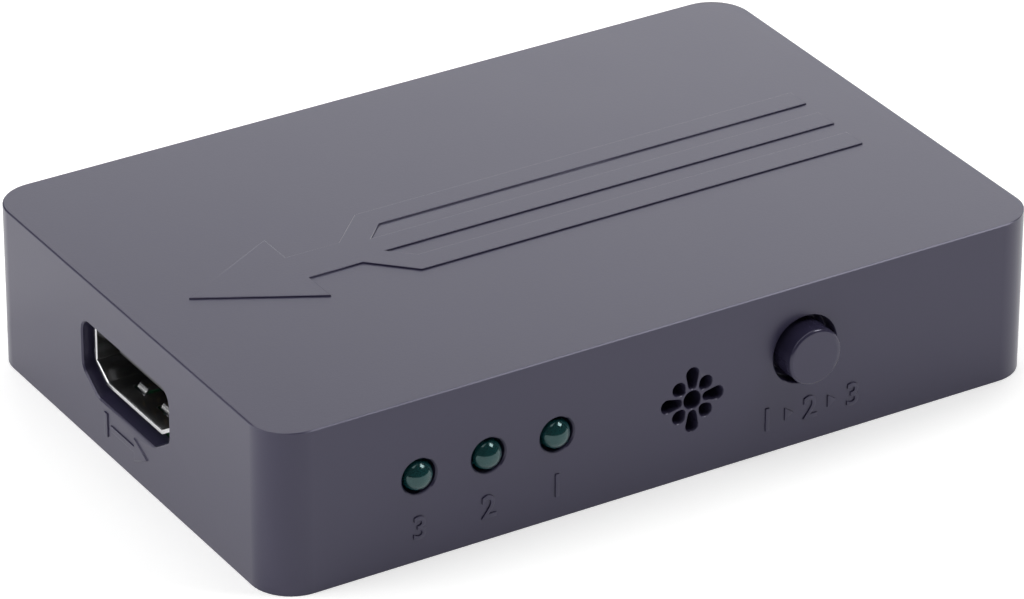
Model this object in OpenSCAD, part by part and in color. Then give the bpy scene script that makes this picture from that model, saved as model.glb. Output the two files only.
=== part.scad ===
// Video switch box: a plastic case with three sockets in, one socket out,
// three status lights, a remote-control window and a push button.
// The origin is the centre of the underside, +Z is up and the front faces -Y.

/* [Case] */
// Width of the case, left to right
case_w = 80; // [78:0.5:120]
// Depth of the case, front to back
case_d = 52.6; // [50:0.1:90]
// Height of the case
case_h = 16.2; // [16:0.1:30]
// Thickness of the four walls
wall = 2; // [1.6:0.1:2.4]
// Thickness of the roof
roof = 2; // [1.2:0.1:2.6]
// Radius of the upright corners
corner_r = 4; // [3:0.1:6]
// Radius of the rounded edge around the top
top_edge_r = 0.15; // [0.1:0.05:1]

/* [Raised signs] */
// Height that the signs stand above the case
sign_h = 0.2; // [0.15:0.05:0.6]
// Length of the flow sign on the top
flow_len = 67.6; // [50:0.2:70]
// Distance between the three lines of the flow sign
flow_pitch = 4.7; // [3.6:0.1:6]
// Width of each line of the flow sign
flow_line = 2.6; // [1.5:0.1:3.2]
// Width of the joined line of the flow sign
flow_shaft = 4.3; // [2.6:0.1:5]
// Length of the arrow head of the flow sign
flow_head = 11; // [6:0.5:16]
// Place of the flow sign along Y
flow_y = -0.55; // [-4:0.05:4]
// Length of the sign under the output socket
out_sign_len = 8; // [5:0.5:12]
// Height of the sign under the output socket
out_sign_w = 2.4; // [1.5:0.1:3]
// Middle of the sign under the output socket above the table
out_sign_z = 3.1; // [2.2:0.1:3.4]

/* [Base plate] */
// Thickness of the base plate
base_t = 1.8; // [1.4:0.1:2.4]
// Thickness of the wall's lip around the base plate
lip = 1; // [0.8:0.1:1.2]
// Gap between the base plate and the lip
base_gap = 0.15; // [0.05:0.05:0.3]

/* [Screws and posts] */
// Screw places in from the left and right of the case
screw_inset_x = 6.5; // [6.2:0.1:7.5]
// Screw places in from the front and back of the case
screw_inset_y = 6.25; // [6:0.05:8]
// Radius of the screw's shank
screw_r = 1.1; // [0.9:0.05:1.3]
// Length of the screw under its head
screw_len = 8; // [6:0.5:10]
// Radius of the screw's head
screw_head_r = 1.9; // [1.6:0.05:2.1]
// Height of the screw's head
screw_head_h = 1.2; // [0.8:0.1:1.4]
// Depth of the head below the underside
screw_sunk = 0.2; // [0.1:0.05:0.4]
// Radius of the posts and bosses
post_r = 2.8; // [2.6:0.05:3]
// Gap around the screw in the base plate and the board
screw_gap = 0.2; // [0.1:0.05:0.3]
// Gap around the screw in the boss that it cuts its thread in
thread_gap = 0.02; // [0.01:0.01:0.05]

/* [Circuit board] */
// Height of the board's upper face above the table
board_top = 5.75; // [5:0.05:6.5]
// Thickness of the board
board_t = 1.6; // [1:0.1:1.8]
// Gap from the board to the walls with sockets
board_gap = 0.4; // [0.2:0.1:0.8]
// Room that lets the board slide into the sockets' cut-outs
board_slide = 1.6; // [1.3:0.1:2]
// Gap around the legs and wires in the board
hole_gap = 0.15; // [0.1:0.05:0.25]
// Length of the legs and wires below the board
tail_len = 0.6; // [0.3:0.1:0.9]

/* [Sockets] */
// Width of the socket's opening
port_open_w = 14; // [13.6:0.1:14.4]
// Height of the socket's opening
port_open_h = 4.7; // [4.5:0.1:5]
// Width of the slanted lower corners
port_slant_w = 2.3; // [1.8:0.1:2.8]
// Height of the slanted lower corners
port_slant_h = 1.5; // [1.2:0.1:1.8]
// Thickness of the shell's sheet
port_sheet = 0.4; // [0.3:0.05:0.5]
// Length of the shell
port_len = 11; // [9.5:0.1:12]
// Outer bend radius of the shell's corners
port_bend_r = 0.6; // [0.5:0.05:0.8]
// Depth of the shell's mouth behind the case wall
port_recess = 0.9; // [0.5:0.1:1.2]
// Gap between the shell and the cut-out in the wall
port_gap = 0.65; // [0.4:0.05:0.8]
// Distance of the cut-out's middle below the socket's middle
port_drop = 0.35; // [0:0.05:0.5]
// Gap between a socket and the board that its legs hold it above
port_stand = 0.35; // [0:0.05:0.5]
// Place of the output socket along Y
output_y = 0.3; // [-4:0.1:2]
// Distance from the case's ends to the middle of the outer input sockets
input_inset = 18; // [17.5:0.1:20]
// Width of a spring finger
finger_w = 1.5; // [1:0.1:1.8]
// Depth that a spring finger reaches into the opening
finger_dip = 0.6; // [0.3:0.05:0.6]
// Distance of the spring fingers from the socket's middle
finger_x = 2.2; // [1.8:0.1:2.6]
// Width of a leg of the shell
leg_w = 1.4; // [1:0.1:1.8]

/* [Tongue and contacts] */
// Width of the tongue
tongue_w = 11.2; // [10.6:0.1:11.6]
// Thickness of the tongue
tongue_t = 1.1; // [0.9:0.05:1.3]
// Height of the tongue above the socket's middle
tongue_lift = 0.25; // [0:0.05:0.5]
// Depth of the tongue's tip behind the mouth
tongue_back = 1.6; // [1.2:0.1:2]
// Length of the block that carries the tongue
block_len = 3; // [2:0.1:3.5]
// Distance between two contacts of one row
contact_pitch = 1; // [0.9:0.02:1.02]
// Width of a contact
contact_w = 0.3; // [0.2:0.02:0.36]
// Thickness of a contact
contact_t = 0.18; // [0.12:0.02:0.24]
// Number of contacts above the tongue
contacts_above = 10; // [6:2:10]

/* [Status lights] */
// Radius of a light's body
led_r = 1.5; // [1.2:0.05:1.7]
// Gap around a light in the wall
led_gap = 0.2; // [0.1:0.05:0.4]
// Length of a light in front of its collar
led_len = 4.3; // [4:0.1:5]
// Radius of a light's collar
led_collar_r = 1.9; // [1.85:0.05:2.1]
// Length of a light's collar
led_collar_len = 1; // [0.6:0.1:1.2]
// Length of a light in front of the wall
led_proud = 0.8; // [0.6:0.1:1.5]
// Distance from the case's left end to the third light
led_inset = 14.55; // [13.5:0.05:17]
// Distance between the lights
led_pitch = 7; // [6:0.1:7.4]
// Height of the lights above the board
led_lift = 2.7; // [2.4:0.05:4]
// Thickness of a light's wires
wire_t = 0.5; // [0.4:0.05:0.6]
// Distance between a light's two wires
wire_pitch = 2.54; // [2:0.02:2.54]

/* [Remote-control window] */
// Place of the window along X
window_x = 2.6; // [1:0.1:4]
// Height of the window above the board
window_lift = 2.1; // [2:0.05:4]
// Radius of the window's middle hole
window_hole_r = 0.9; // [0.6:0.05:0.95]
// Reach of the four long petals from the middle
petal_long = 3.25; // [3:0.05:3.5]
// Reach of the four short petals from the middle
petal_short = 2.64; // [2.5:0.02:2.8]
// Distance between the two round ends of a long petal
petal_long_len = 1.08; // [0.8:0.02:1.2]
// Distance between the two round ends of a short petal
petal_short_len = 0.37; // [0.3:0.01:0.5]
// Radius of a petal's outer end
petal_outer_r = 0.65; // [0.5:0.05:0.7]
// Radius of a petal's inner end
petal_inner_r = 0.42; // [0.3:0.02:0.46]
// Width of the receiver's body
receiver_w = 5.4; // [5:0.1:6]
// Thickness of the receiver's body
receiver_t = 2.6; // [2.2:0.1:3]
// Height of the receiver's body
receiver_h = 6.6; // [6:0.1:7]
// Radius of the receiver's round lens
lens_r = 1.9; // [1.5:0.1:2]
// Length of the lens in front of the receiver's body
lens_proud = 1.5; // [1.2:0.1:1.6]
// Gap between the lens and the wall
lens_gap = 0.3; // [0.2:0.1:0.5]

/* [Push button] */
// Distance from the case's right end to the button
button_inset = 25.5; // [20:0.1:26]
// Height of the button above the board
button_lift = 3.8; // [3.8:0.1:5]
// Radius of the button
button_r = 2.75; // [2.6:0.05:3.2]
// Gap around the button at the face of the wall
button_gap = 0.55; // [0.2:0.05:0.6]
// Thickness of the wall's ledge that guides the button
button_ledge = 0.4; // [0.3:0.1:1.2]
// Gap around the button where the wall guides it
button_guide = 0.1; // [0.06:0.02:0.14]
// Length of the button in front of the wall
button_proud = 1.8; // [1:0.1:2]
// Radius of the button's rounded edge
button_edge_r = 0.6; // [0.2:0.05:0.8]
// Radius of the button's collar behind the wall
button_collar_r = 4.2; // [3.8:0.1:4.4]
// Thickness of the button's collar
button_collar = 0.8; // [0.5:0.05:0.9]
// Gap between the collar and the wall
button_stop = 0.05; // [0.02:0.01:0.1]
// Radius of the button's stem
stem_r = 2; // [1.6:0.1:2.4]

/* [Push switch] */
// Width of the switch's body
switch_w = 6; // [5.8:0.1:6.4]
// Depth of the switch's body
switch_d = 3.5; // [3.2:0.1:4]
// Thickness of the switch's cover
switch_sheet = 0.3; // [0.2:0.05:0.4]
// Distance from the wall to the switch's cover
switch_back = 3.25; // [3.1:0.05:3.6]
// Radius of the plunger
plunger_r = 1.7; // [1.5:0.05:1.8]
// Length of the plunger in front of the cover
plunger_proud = 1; // [0.8:0.05:1.1]
// Gap around the plunger in the cover
plunger_gap = 0.1; // [0.05:0.01:0.15]
// Radius of the hollow in the switch's body
hollow_r = 2.5; // [2.4:0.05:2.6]
// Depth of the hollow in the switch's body
hollow_d = 1.6; // [1.5:0.05:1.8]
// Height of the spring dome
dome_h = 0.7; // [0.6:0.05:0.8]
// Thickness of the spring dome
dome_t = 0.12; // [0.08:0.02:0.16]
// Small gap that keeps moving pieces apart
play = 0.02; // [0.01:0.01:0.05]

/* [Chips] */
// Width of the switching chip
chip_w = 12; // [10:0.5:12]
// Height of the switching chip
chip_h = 1.4; // [1:0.1:1.6]
// Number of pins on each side of the switching chip
chip_pins = 12; // [8:1:16]
// Length of the control chip
control_w = 8.65; // [6:0.05:9]
// Width of the control chip
control_d = 3.9; // [3.5:0.1:4.2]
// Number of pins on each side of the control chip
control_pins = 7; // [4:1:7]
// Gap under the chips
chip_lift = 0.1; // [0.05:0.05:0.2]
// Thickness of a chip's pins
pin_t = 0.15; // [0.1:0.01:0.2]
// Reach of a chip's pins from its body
pin_reach = 1; // [0.8:0.05:1.2]

/* [Small parts on the board] */
// Radius of the round capacitor
can_r = 2.5; // [2:0.1:3]
// Height of the round capacitor above its base
can_h = 4.4; // [3:0.1:5]
// Thickness of the round capacitor's base
can_base = 1; // [0.6:0.1:1.2]
// Length of the crystal's can
crystal_len = 10.4; // [8:0.1:11]
// Width of the crystal's can
crystal_w = 4.4; // [3.6:0.1:4.6]
// Height of the crystal's can
crystal_h = 3.6; // [2.5:0.1:4]
// Length of a small resistor or capacitor
part_len = 1.6; // [1.2:0.1:2]
// Width of a small resistor or capacitor
part_w = 0.8; // [0.6:0.05:1]
// Length of a small part's metal end
part_end = 0.3; // [0.2:0.05:0.4]

/* [Board layout] */
// Place of the switching chip along X
chip_x = 2; // [0:0.5:4]
// Distance from the case's back to the switching chip
chip_inset = 23; // [22:0.5:24]
// Distance from the case's right end to the control chip
control_inset_x = 16; // [15:0.5:18]
// Distance from the case's front to the control chip
control_inset_y = 17.2; // [16:0.1:18]
// Distance from the case's left end to the regulator
regulator_inset_x = 25; // [24:0.5:27]
// Distance from the case's front to the regulator
regulator_inset_y = 18.2; // [17:0.1:19]
// Distance from the case's right end to the round capacitor
can_inset_x = 13; // [12:0.5:15]
// Distance from the case's back to the round capacitor
can_inset_y = 22.2; // [21:0.1:23]
// Distance from the case's left end to the crystal
crystal_inset = 24; // [23:0.5:26]
// Distance from the output socket's middle to the crystal, along Y
crystal_shift = 2.1; // [1:0.1:2.5]
// Distance from the switching chip to the small capacitors
capacitor_inset = 4.7; // [3.5:0.1:5]
// Distance from the case's front to the small resistors
resistor_inset = 10.8; // [10:0.1:11.5]

/* [Hidden] */
$fn = 48;
// Overlap that joins the shapes of one piece
join = 0.2;
// Length that a cutting shape runs past a face
over = 1;
// Straight steps in a rounded corner
bend_steps = 4;

front_y = -case_d / 2;
back_y = case_d / 2;
left_x = -case_w / 2;
right_x = case_w / 2;
front_in = front_y + wall;
roof_in = case_h - roof;
screw_x = case_w / 2 - screw_inset_x;
screw_y = case_d / 2 - screw_inset_y;
screw_seat = screw_sunk + screw_head_h;
screw_tip = 1;
bore_spare = 1;

port_w = port_open_w + 2 * port_sheet;
port_h = port_open_h + 2 * port_sheet;
port_floor = -port_h / 2;
port_z = board_top + port_stand - port_floor;
port_foot = port_floor - port_stand;
input_pitch = case_w / 2 - input_inset;
board_bottom = board_top - board_t;
tail_z = board_bottom - tail_len;
board_x0 = left_x + wall + board_gap;
board_x1 = right_x - wall - board_slide;
board_y0 = front_y + wall + board_slide;
board_y1 = back_y - wall - board_gap;
board_r = 1;

finger_root = port_len - block_len - 1.2;
finger_tip = tongue_back + 0.3;
finger_bend = finger_tip + 0.45;
finger_slot = 0.3;
leg_places = [2.8, finger_root + 0.4];
leg_top = 0.5;
block_fit = 0.02;

tongue_top = tongue_lift + tongue_t / 2;
tongue_floor = tongue_lift - tongue_t / 2;
tongue_edge = 0.25;
contact_start = tongue_back + 0.8;
contact_drop = port_len + 0.6;
contact_foot = contact_drop + 0.9;

led_z = board_top + led_lift;
led_tip_y = front_y - led_proud;
led_back_y = led_tip_y + led_len + led_collar_len;
led_wire_in = led_collar_len - join;
led_wire_y = led_back_y + 2.4;

window_z = board_top + window_lift;
lens_tip_y = front_in + lens_gap;
receiver_y = lens_tip_y + lens_proud;
receiver_wires = 3;
receiver_pitch = 2;
receiver_wire_in = 0.6;

button_x = right_x - button_inset;
button_z = board_top + button_lift;
button_front = button_proud + wall;
switch_y = front_in + switch_back;
switch_body_y = switch_y + switch_sheet;
hollow_y = switch_body_y + hollow_d;
dome_r = hollow_r - 0.15;
dome_top_y = hollow_y - dome_h;
plunger_collar_r = hollow_r - 0.2;
plunger_collar = 0.5;
plunger_nose_r = 0.7;
switch_top = button_z + switch_w / 2;
cover_tab_d = 2.2;
cover_leg_w = 1;
lead_w = 0.7;
lead_t = 0.3;
lead_x = 1.6;
lead_out = 0.5;

chip_y = back_y - chip_inset;
chip_pin_pitch = chip_w / (chip_pins + 2);
chip_pin_w = 0.3;
control_x = right_x - control_inset_x;
control_y = front_y + control_inset_y;
control_h = 1.4;
control_pin_pitch = 1.27;
control_pin_w = 0.4;
pin_foot = 0.5;
regulator_w = 6.5;
regulator_d = 3.5;
regulator_h = 1.6;
regulator_x = left_x + regulator_inset_x;
regulator_y = front_y + regulator_inset_y;
regulator_pin_w = 0.7;
regulator_tab_w = 3;
regulator_pitch = 2.3;
can_x = right_x - can_inset_x;
can_y = back_y - can_inset_y;
can_groove = 0.25;
crystal_x = left_x + crystal_inset;
crystal_y = output_y + crystal_shift;
part_h = 0.5;
capacitor_y = chip_y - chip_w / 2 - capacitor_inset;
capacitor_count = 6;
capacitor_pitch = 2.6;
resistor_y = front_y + resistor_inset;

case_colour = "#55525c";
button_colour = "#4b4853";
steel_colour = "#c9ccd0";
gold_colour = "#d2b25c";
board_colour = "#1f5d3a";
black_colour = "#1b1b1d";
lens_colour = "#1d6b63";
ceramic_colour = "#a58a6a";

ports = ["output", "input_1", "input_2", "input_3"];

// Points of an arc about a centre, from one angle to another
function arc(c, r, a, b, steps) = [for (i = [0:steps]) c + r * [cos(a + (b - a) * i / steps),
    sin(a + (b - a) * i / steps)]];

// Turn from one angle to another the short way round
function short_turn(a) = a > 180 ? a - 360 : (a < -180 ? a + 360 : a);

// Arc that rounds the corner p between the points before and after it
function bend(before, p, after, r) =
    let (u = (before - p) / norm(before - p), v = (after - p) / norm(after - p),
        half = acos(u * v) / 2, c = p + (u + v) / norm(u + v) * r / sin(half),
        s = p + u * r / tan(half) - c, e = p + v * r / tan(half) - c,
        a = atan2(s[1], s[0]), turn = short_turn(atan2(e[1], e[0]) - a))
    arc(c, r, a, a + turn, bend_steps);

// Outline with every corner rounded
function rounded(points, r) = [for (i = [0:len(points) - 1])
    each bend(points[(i + len(points) - 1) % len(points)], points[i], points[(i + 1) % len(points)], r)];

// Socket outline with slanted lower corners, grown by a gap all round
function port_outline(grow) =
    let (w = port_w / 2, h = port_h / 2,
        k = 1 - grow * norm([1 / port_slant_w, 1 / port_slant_h]),
        x = w - port_slant_w * (k + grow / port_slant_h),
        z = -h + port_slant_h * (k + grow / port_slant_w))
    rounded([[-w - grow, h + grow], [w + grow, h + grow], [w + grow, z], [x, -h - grow],
        [-x, -h - grow], [-w - grow, z]], port_bend_r + grow);

// Side of the case with its rounded top edge, at a given reach from the middle
function case_side(reach) = concat([[reach, 0]],
    arc([reach - top_edge_r, case_h - top_edge_r], top_edge_r, 0, 90, bend_steps));

// Outline across the case, with one side the mirror of the other
function case_section(reach) = let (side = case_side(reach))
    concat(side, [for (i = [len(side) - 1:-1:0]) [-side[i][0], side[i][1]]]);

function input_x(number) = (2 - number) * input_pitch;

function light_x(number) = left_x + led_inset + (3 - number) * led_pitch;

// Pull a flat shape, drawn in X and Z, along Y
module along_y(from, to) {
    translate([0, to, 0])
        rotate([90, 0, 0])
            linear_extrude(to - from)
                children();
}

// Pull a flat shape, drawn in Y and Z, along X by a width about its middle
module along_x(width) {
    rotate([90, 0, 90])
        linear_extrude(width, center = true)
            children();
}

module block(x0, x1, y0, y1, z0, z1) {
    translate([x0, y0, z0])
        cube([x1 - x0, y1 - y0, z1 - z0]);
}

module rounded_plate(w, d, r, z0, z1) {
    translate([0, 0, z0])
        linear_extrude(z1 - z0)
            union() {
                square([w - 2 * r, d], center = true);
                square([w, d - 2 * r], center = true);
                for (x = [-1, 1], y = [-1, 1])
                    translate([x * (w / 2 - r), y * (d / 2 - r)])
                        circle(r);
            }
}

module at_screws() {
    for (x = [-1, 1], y = [-1, 1])
        translate([x * screw_x, y * screw_y, 0])
            children();
}

// Place a socket drawn with its mouth at Y 0 and its body towards +Y
module at_port(port) {
    if (port == "output")
        translate([left_x + port_recess, output_y, port_z])
            rotate(-90)
                children();
    else
        translate([input_x(ord(port[6]) - ord("0")), back_y - port_recess, port_z])
            rotate(180)
                children();
}

// Place a round piece drawn along +Z so that it faces the front from a given Y
module facing_front(x, y, z) {
    translate([x, y, z])
        rotate([90, 0, 0])
            children();
}

module case_block() {
    along_x(case_w - 2 * corner_r)
        polygon(case_section(case_d / 2));
    along_y(front_y + corner_r, back_y - corner_r)
        polygon(case_section(case_w / 2));
    for (x = [-1, 1], y = [-1, 1])
        translate([x * (case_w / 2 - corner_r), y * (case_d / 2 - corner_r), 0])
            rotate_extrude()
                polygon(concat([[0, 0]], case_side(corner_r), [[0, case_h]]));
}

// One petal of the window, with a round end at each end of its length
module petal(reach, length) {
    outer = reach - petal_outer_r;
    inner = outer - length;
    slope = asin((petal_outer_r - petal_inner_r) / length);
    polygon(concat(arc([outer, 0], petal_outer_r, -90 - slope, 90 + slope, 3 * bend_steps),
        arc([inner, 0], petal_inner_r, 90 + slope, 270 - slope, 2 * bend_steps)));
}

module window_holes() {
    circle(window_hole_r);
    for (i = [0:3]) {
        rotate(i * 90)
            petal(petal_long, petal_long_len);
        rotate(i * 90 + 45)
            petal(petal_short, petal_short_len);
    }
}

// Three lines that join into one arrow, which points to the output socket
module flow_sign() {
    end = flow_len / 2;
    neck = -end + flow_head;
    meet = neck + flow_head / 2;
    edge = flow_pitch + flow_line / 2;
    inset = meet - flow_shaft / 2 + flow_line * sqrt(2);
    upper = [[neck, edge], [neck, flow_shaft / 2], [meet, flow_shaft / 2],
        [meet + edge - flow_shaft / 2, edge], [end, edge], [end, edge - flow_line],
        [inset + edge - flow_line, edge - flow_line], [inset + flow_line / 2, flow_line / 2],
        [end, flow_line / 2]];
    lower = [for (i = [len(upper) - 1:-1:0]) [upper[i][0], -upper[i][1]]];
    polygon(concat([[-end, 0]], upper, lower));
}

// A bar and an arrow that leaves it, drawn towards +X
module out_sign() {
    bar = out_sign_w / 4;
    end = out_sign_len / 2;
    neck = end - out_sign_w;
    translate([-end, -out_sign_w / 2])
        square([bar, out_sign_w]);
    polygon([[2 * bar - end, bar / 2], [neck, bar / 2], [neck, out_sign_w / 2], [end, 0],
        [neck, -out_sign_w / 2], [neck, -bar / 2], [2 * bar - end, -bar / 2]]);
}

module top_cover() {
    color(case_colour)
        difference() {
            union() {
                difference() {
                    case_block();
                    rounded_plate(case_w - 2 * wall, case_d - 2 * wall, corner_r - wall, -over, roof_in);
                    rounded_plate(case_w - 2 * lip, case_d - 2 * lip, corner_r - lip, -over, base_t);
                    for (port = ports)
                        at_port(port)
                            translate([0, 0, -port_drop])
                                along_y(-port_recess - over, wall - port_recess + over)
                                    polygon(port_outline(port_gap));
                }
                at_screws()
                    translate([0, 0, board_top])
                        cylinder(r = post_r, h = roof_in - board_top + join);
                translate([0, flow_y, case_h - join])
                    linear_extrude(sign_h + join)
                        flow_sign();
                translate([left_x + join, output_y, out_sign_z])
                    rotate([0, 0, -90])
                        along_y(-sign_h - join, 0)
                            out_sign();
            }
            at_screws()
                cylinder(r = screw_r + thread_gap, h = screw_seat + screw_len + bore_spare);
            for (number = [1:3])
                facing_front(light_x(number), front_in + over, led_z)
                    cylinder(r = led_r + led_gap, h = wall + 2 * over);
            translate([window_x, 0, window_z])
                along_y(front_y - over, front_in + over)
                    window_holes();
            facing_front(button_x, front_in + over, button_z)
                cylinder(r = button_r + button_guide, h = wall + 2 * over);
            facing_front(button_x, front_in - button_ledge, button_z)
                cylinder(r = button_r + button_gap, h = wall - button_ledge + over);
        }
}

module base_plate() {
    inset = 2 * (lip + base_gap);
    color(case_colour)
        difference() {
            union() {
                rounded_plate(case_w - inset, case_d - inset, corner_r - inset / 2, 0, base_t);
                at_screws()
                    cylinder(r = post_r, h = board_bottom);
            }
            at_screws() {
                translate([0, 0, -over])
                    cylinder(r = screw_r + screw_gap, h = board_bottom + 2 * over);
                translate([0, 0, -over])
                    cylinder(r = screw_head_r + screw_gap, h = screw_seat + over);
            }
        }
}

module case_screws() {
    slot_w = screw_head_r / 4;
    slot_len = screw_head_r * 1.1;
    slot_d = screw_head_h / 2;
    color(steel_colour)
        at_screws()
            difference() {
                union() {
                    translate([0, 0, screw_sunk])
                        cylinder(r = screw_head_r, h = screw_head_h);
                    translate([0, 0, screw_seat - join])
                        cylinder(r = screw_r, h = screw_len - screw_tip + join);
                    translate([0, 0, screw_seat + screw_len - screw_tip])
                        cylinder(r1 = screw_r, r2 = screw_r / 3, h = screw_tip);
                }
                for (turn = [0, 90])
                    rotate(turn)
                        block(-slot_len / 2, slot_len / 2, -slot_w / 2, slot_w / 2, screw_sunk - over,
                            screw_sunk + slot_d);
            }
}

// Legs of a socket's shell, grown by a gap all round
module port_legs(grow, top) {
    for (side = [-1, 1], y = leg_places)
        translate([side * (port_w - port_sheet) / 2, y, 0])
            block(-port_sheet / 2 - grow, port_sheet / 2 + grow, -leg_w / 2 - grow, leg_w / 2 + grow,
                tail_z - port_z - grow, top);
}

module board_holes() {
    at_screws()
        circle(screw_r + screw_gap);
    for (number = [1:3], side = [-1, 1])
        translate([light_x(number) + side * wire_pitch / 2, led_wire_y - wire_t / 2])
            circle(wire_t / sqrt(2) + hole_gap);
    for (i = [0:receiver_wires - 1])
        translate([window_x + (i - 1) * receiver_pitch, receiver_y + receiver_t / 2])
            circle(wire_t / sqrt(2) + hole_gap);
    for (side = [-1, 1]) {
        translate([button_x + side * (switch_w + switch_sheet) / 2, switch_y + cover_tab_d / 2])
            square([switch_sheet + 2 * hole_gap, cover_leg_w + 2 * hole_gap], center = true);
        translate([button_x + side * lead_x, switch_body_y + switch_d + lead_out - lead_t / 2])
            square([lead_w + 2 * hole_gap, lead_t + 2 * hole_gap], center = true);
    }
}

module circuit_board() {
    color(board_colour)
        difference() {
            translate([(board_x0 + board_x1) / 2, (board_y0 + board_y1) / 2, 0])
                rounded_plate(board_x1 - board_x0, board_y1 - board_y0, board_r, board_bottom, board_top);
            translate([0, 0, board_bottom - over])
                linear_extrude(board_t + 2 * over)
                    board_holes();
            for (port = ports)
                at_port(port)
                    port_legs(hole_gap, leg_top);
        }
}

// Spring finger bent from the sheet, drawn for the upper sheet
module spring_finger() {
    low = port_open_h / 2;
    along_x(finger_w)
        polygon([[finger_root + join, low + port_sheet], [finger_root, low + port_sheet],
            [finger_bend, low + port_sheet - finger_dip], [finger_tip, low + port_sheet],
            [finger_tip, low], [finger_bend, low - finger_dip], [finger_root, low],
            [finger_root + join, low]]);
}

module at_fingers() {
    for (side = [-1, 1], turn = [0, 1])
        translate([side * finger_x, 0, 0])
            mirror([0, 0, turn])
                children();
}

module port_shell(port) {
    slot_w = finger_w + 2 * finger_slot;
    color(steel_colour)
        at_port(port) {
            difference() {
                along_y(0, port_len)
                    polygon(port_outline(0));
                along_y(-over, port_len + over)
                    polygon(port_outline(-port_sheet));
                at_fingers()
                    block(-slot_w / 2, slot_w / 2, finger_tip - finger_slot, finger_root,
                        port_open_h / 2 - join, port_h / 2 + over);
            }
            at_fingers()
                spring_finger();
            port_legs(0, leg_top);
        }
}

// Flat strip along the tongue that drops behind the block to a foot on the board
module contact(x, top) {
    translate([x, 0, 0])
        along_x(contact_w)
            polygon([[contact_start, top], [contact_drop, top], [contact_drop, port_foot + contact_t],
                [contact_foot, port_foot + contact_t], [contact_foot, port_foot],
                [contact_drop - contact_t, port_foot], [contact_drop - contact_t, top - contact_t],
                [contact_start, top - contact_t]]);
}

module contact_rows() {
    for (i = [0:contacts_above - 1])
        contact((i - (contacts_above - 1) / 2) * contact_pitch, tongue_top);
    for (i = [0:contacts_above - 2])
        contact((i - (contacts_above - 2) / 2) * contact_pitch, tongue_floor + contact_t);
}

module port_insulator(port) {
    color(black_colour)
        at_port(port)
            difference() {
                union() {
                    along_y(port_len - block_len, port_len)
                        polygon(port_outline(-port_sheet - block_fit));
                    along_x(tongue_w)
                        polygon([[port_len - block_len + join, tongue_top],
                            [tongue_back + tongue_edge, tongue_top],
                            [tongue_back, tongue_top - tongue_edge],
                            [tongue_back, tongue_floor + tongue_edge],
                            [tongue_back + tongue_edge, tongue_floor],
                            [port_len - block_len + join, tongue_floor]]);
                }
                contact_rows();
            }
}

module port_contacts(port) {
    color(gold_colour)
        at_port(port)
            contact_rows();
}

module select_button() {
    stem_end = switch_back - plunger_proud - play;
    collar_back = button_stop + button_collar;
    color(button_colour)
        facing_front(button_x, front_in, button_z)
            rotate_extrude()
                polygon(concat([[0, -stem_end], [stem_r, -stem_end], [stem_r, -collar_back],
                    [button_collar_r, -collar_back], [button_collar_r, -button_stop],
                    [button_r, -button_stop]],
                    arc([button_r - button_edge_r, button_front - button_edge_r], button_edge_r, 0, 90,
                        bend_steps), [[0, button_front]]));
}

module switch_body() {
    color(black_colour)
        difference() {
            block(button_x - switch_w / 2, button_x + switch_w / 2, switch_body_y, switch_body_y + switch_d,
                board_top, switch_top);
            facing_front(button_x, hollow_y, button_z)
                cylinder(r = hollow_r, h = hollow_d + over);
            lead_pair();
        }
}

module switch_cover() {
    half = switch_w / 2;
    color(steel_colour)
        difference() {
            union() {
                block(button_x - half - switch_sheet, button_x + half + switch_sheet, switch_y, switch_body_y,
                    button_z - half, switch_top);
                for (side = [-1, 1])
                    translate([button_x + side * (half + switch_sheet / 2), switch_y, 0]) {
                        block(-switch_sheet / 2, switch_sheet / 2, 0, cover_tab_d, button_z - half,
                            switch_top);
                        block(-switch_sheet / 2, switch_sheet / 2, (cover_tab_d - cover_leg_w) / 2,
                            (cover_tab_d + cover_leg_w) / 2, tail_z, button_z);
                    }
            }
            facing_front(button_x, switch_body_y + over, button_z)
                cylinder(r = plunger_r + plunger_gap, h = switch_sheet + 2 * over);
        }
}

module switch_plunger() {
    collar_y = switch_body_y + play;
    nose_y = dome_top_y - play;
    color(black_colour) {
        facing_front(button_x, collar_y + join, button_z)
            cylinder(r = plunger_r, h = plunger_proud + switch_sheet + play + join);
        facing_front(button_x, collar_y + plunger_collar, button_z)
            cylinder(r = plunger_collar_r, h = plunger_collar);
        facing_front(button_x, nose_y, button_z)
            cylinder(r = plunger_nose_r, h = nose_y - collar_y);
    }
}

// Thin round dome, with its rim on the floor of the hollow
module switch_dome() {
    bow_r = (dome_r * dome_r + dome_h * dome_h) / (2 * dome_h);
    low = dome_h - bow_r;
    rim = asin(-low / bow_r);
    inner_rim = asin(-low / (bow_r - dome_t));
    color(steel_colour)
        facing_front(button_x, hollow_y, button_z)
            rotate_extrude()
                polygon(concat(arc([0, low], bow_r, rim, 90, 2 * bend_steps),
                    arc([0, low], bow_r - dome_t, 90, inner_rim, 2 * bend_steps)));
}

// Two flat leads that leave the back of the switch and drop into the board
module lead_pair() {
    rear = switch_body_y + switch_d;
    level = board_top + (button_z - board_top) / 2;
    for (side = [-1, 1])
        translate([button_x + side * lead_x, 0, 0])
            along_x(lead_w)
                polygon([[rear - lead_out, level + lead_t], [rear + lead_out, level + lead_t],
                    [rear + lead_out, tail_z], [rear + lead_out - lead_t, tail_z],
                    [rear + lead_out - lead_t, level], [rear - lead_out, level]]);
}

module switch_leads() {
    color(steel_colour)
        lead_pair();
}

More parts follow.
